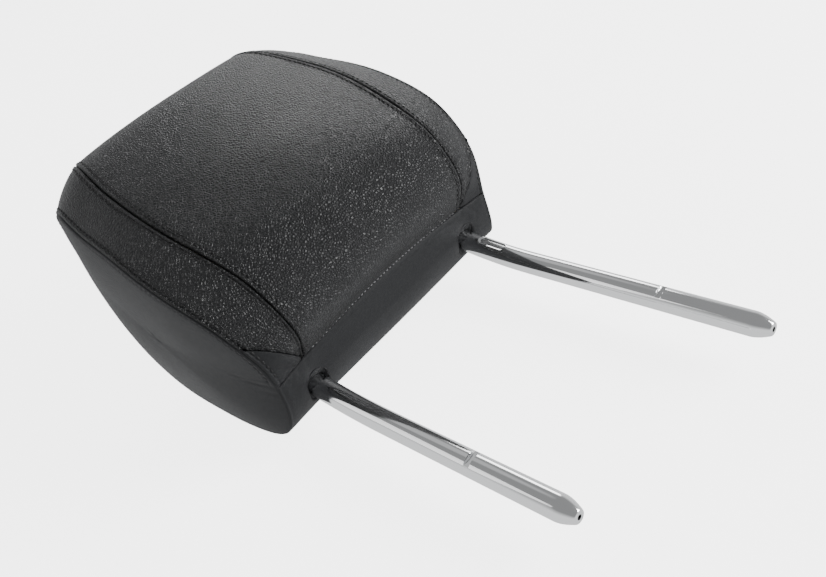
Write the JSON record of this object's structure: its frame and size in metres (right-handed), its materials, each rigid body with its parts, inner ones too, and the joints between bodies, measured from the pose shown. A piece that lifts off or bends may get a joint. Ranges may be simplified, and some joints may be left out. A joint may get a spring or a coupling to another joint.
{
  "type": "head restraint",
  "caption": "Padded leather head restraint on two chromed posts with latch notches, which plugs into a seat back and tilts on its hidden crossbar.",
  "frame": {"origin": "centre of the bounding box's footprint, on the surface the part lies on", "axes": "+Y from the post tips towards the top of the cushion, +Z out of the front face that meets the head, +X to the right seen from the front with the cushion up"},
  "size_m": [0.228, 0.3971, 0.1579],
  "materials": {
    "chrome": "bright polished chrome plate on steel tube",
    "spring_steel": "oiled spring steel strip",
    "zinc_screws": "zinc-plated steel",
    "acetal": "natural acetal, satin",
    "black_plastic": "moulded polypropylene, satin",
    "foam": "moulded polyurethane foam, open pores",
    "grained_leather": "charcoal leather with a pebble grain, semi-gloss",
    "smooth_leather": "charcoal leather with a fine, nearly smooth grain, satin"
  },
  "bodies": {
    "posts": {"post_frame": "chrome", "tilt_stop_tab": "chrome"},
    "cushion": {"left_bush_front": "acetal", "left_bush_rear": "acetal", "right_bush_front": "acetal", "right_bush_rear": "acetal", "left_friction_clamp": "spring_steel", "right_friction_clamp": "spring_steel", "left_clamp_screw": "zinc_screws", "right_clamp_screw": "zinc_screws", "left_clamp_nut": "zinc_screws", "right_clamp_nut": "zinc_screws", "core_front_shell": "black_plastic", "core_rear_shell": "black_plastic", "core_screw_1": "zinc_screws", "core_screw_2": "zinc_screws", "core_screw_3": "zinc_screws", "core_screw_4": "zinc_screws", "core_screw_5": "zinc_screws", "core_screw_6": "zinc_screws", "front_foam": "foam", "rear_foam": "foam", "front_panel": "grained_leather", "left_bolster_strip": "grained_leather", "right_bolster_strip": "grained_leather", "left_corner_piece": "smooth_leather", "right_corner_piece": "smooth_leather", "left_side_gusset": "smooth_leather", "right_side_gusset": "smooth_leather", "bottom_panel": "smooth_leather", "rear_panel": "smooth_leather", "closure_hook_strip": "black_plastic", "closure_catch_strip": "black_plastic"}
  },
  "joints": [
    {"name": "head_tilt", "type": "hinge", "parent": "posts", "child": "cushion", "pos_m": [0, 0.05592, 0.03358], "axis": [1, 0, 0], "range_deg": [-4, 6]}
  ]
}
